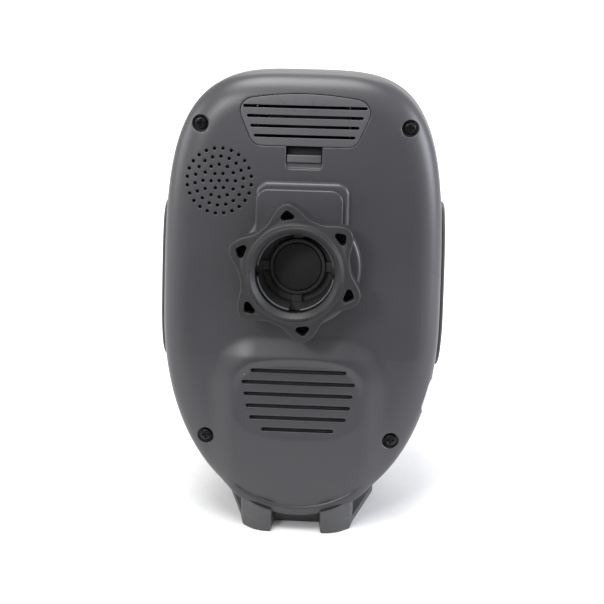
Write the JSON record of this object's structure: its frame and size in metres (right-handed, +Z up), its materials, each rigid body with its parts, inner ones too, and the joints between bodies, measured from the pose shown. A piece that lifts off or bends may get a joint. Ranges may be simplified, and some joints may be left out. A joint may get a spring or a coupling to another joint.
{
  "type": "electronic game caller",
  "caption": "Electronic game caller: an egg-shaped plastic case on a small foot, with a speaker, display and keys in front and a ball-mount socket with a star-shaped locking nut behind.",
  "frame": {"origin": "middle of the foot's flat underside", "axes": "+Z up along the height; +Y the way the front speaker faces; the ball-mount socket is on the -Y side"},
  "size_m": [0.0958, 0.0756, 0.1516],
  "materials": {
    "shell": "fine moulded grain",
    "dark_plastic": "smooth satin",
    "rubber": "matte",
    "silicone": "translucent, pale",
    "light_pipe": "clear",
    "key": "matte",
    "black_steel": "black, satin",
    "bright_steel": "nickel plated",
    "circuit_board": "solder mask",
    "chip": "matte",
    "copper": "enamelled",
    "lens": "clear gloss over black",
    "paper": "matte",
    "cell_sleeve": "dark sleeve, no print shown",
    "red_lead": "insulation",
    "black_lead": "insulation"
  },
  "bodies": {
    "caller": {"rear_shell": "shell", "front_shell": "shell", "ball_socket": "dark_plastic", "foot": "dark_plastic", "battery_tray": "dark_plastic", "left_side_grip": "rubber", "right_side_grip": "rubber", "socket_pad": "rubber", "shell_gasket": "rubber", "keypad_mat": "rubber", "speaker_surround": "rubber", "status_light": "light_pipe", "case_screw_1": "black_steel", "case_screw_2": "black_steel", "case_screw_3": "black_steel", "case_screw_4": "black_steel", "foot_screw_1": "black_steel", "foot_screw_2": "black_steel", "speaker_grille": "black_steel", "speaker_basket": "black_steel", "rear_speaker_frame": "black_steel", "charge_socket": "bright_steel", "positive_contact": "bright_steel", "negative_contact": "bright_steel", "negative_spring": "bright_steel", "speaker_magnet": "bright_steel", "rear_speaker_magnet": "bright_steel", "radio_shield": "bright_steel", "charge_board": "circuit_board", "main_board": "circuit_board", "display_module": "chip", "audio_chip": "chip", "memory_chip": "chip", "antenna_coil": "copper", "display_lens": "lens", "speaker_cone": "paper", "speaker_dust_cap": "paper", "rear_speaker_cone": "paper", "battery_cell": "cell_sleeve", "battery_lead_red": "red_lead", "speaker_lead_red": "red_lead", "battery_lead_black": "black_lead", "speaker_lead_black": "black_lead"},
    "clamp_ring": {"clamp_ring": "dark_plastic"},
    "locking_nut": {"locking_nut": "dark_plastic"},
    "battery_door": {"battery_door": "shell"},
    "door_latch": {"door_latch": "shell"},
    "charge_port_cover": {"charge_port_cover": "silicone"},
    "previous_key": {"previous_key": "key"},
    "play_key": {"play_key": "key"},
    "next_key": {"next_key": "key"},
    "volume_down_key": {"volume_down_key": "key"},
    "power_key": {"power_key": "key"},
    "volume_up_key": {"volume_up_key": "key"}
  },
  "joints": [
    {"name": "nut_lead", "type": "slide", "parent": "caller", "child": "clamp_ring", "axis": [0, -0.9703, 0.2419], "range_m": [0, 0.00376]},
    {"name": "nut_turn", "type": "hinge", "parent": "clamp_ring", "child": "locking_nut", "pos_m": [-0.0012, -0.02556, 0.09406], "axis": [0, -0.9703, 0.2419], "range_deg": [0, 540]},
    {"name": "door_swing", "type": "hinge", "parent": "caller", "child": "battery_door", "pos_m": [0, 0.00136, 0.14702], "axis": [-1, 0, 0], "range_deg": [0, 80]},
    {"name": "latch_flex", "type": "hinge", "parent": "battery_door", "child": "door_latch", "pos_m": [0, -0.00052, 0.12811], "axis": [-1, 0, 0], "range_deg": [0, 10], "stiffness_Nm_per_rad": 0.05},
    {"name": "port_cover_swing", "type": "hinge", "parent": "caller", "child": "charge_port_cover", "pos_m": [0.0456, -0.0143, 0.0524], "axis": [0, -0.9703, 0.2419], "range_deg": [0, 90]},
    {"name": "previous_press", "type": "slide", "parent": "caller", "child": "previous_key", "axis": [0, -0.9881, 0.154], "range_m": [0, 0.0008], "stiffness_N_per_m": 400},
    {"name": "play_press", "type": "slide", "parent": "caller", "child": "play_key", "axis": [0, -0.9881, 0.154], "range_m": [0, 0.0008], "stiffness_N_per_m": 400},
    {"name": "next_press", "type": "slide", "parent": "caller", "child": "next_key", "axis": [0, -0.9881, 0.154], "range_m": [0, 0.0008], "stiffness_N_per_m": 400},
    {"name": "volume_down_press", "type": "slide", "parent": "caller", "child": "volume_down_key", "axis": [0, -0.9881, 0.154], "range_m": [0, 0.0008], "stiffness_N_per_m": 400},
    {"name": "power_press", "type": "slide", "parent": "caller", "child": "power_key", "axis": [0, -0.9881, 0.154], "range_m": [0, 0.0008], "stiffness_N_per_m": 400},
    {"name": "volume_up_press", "type": "slide", "parent": "caller", "child": "volume_up_key", "axis": [0, -0.9881, 0.154], "range_m": [0, 0.0008], "stiffness_N_per_m": 400}
  ],
  "couplings": [
    {"joint": "nut_lead", "follows": "nut_turn", "m_per_rad": 0.00039789}
  ]
}
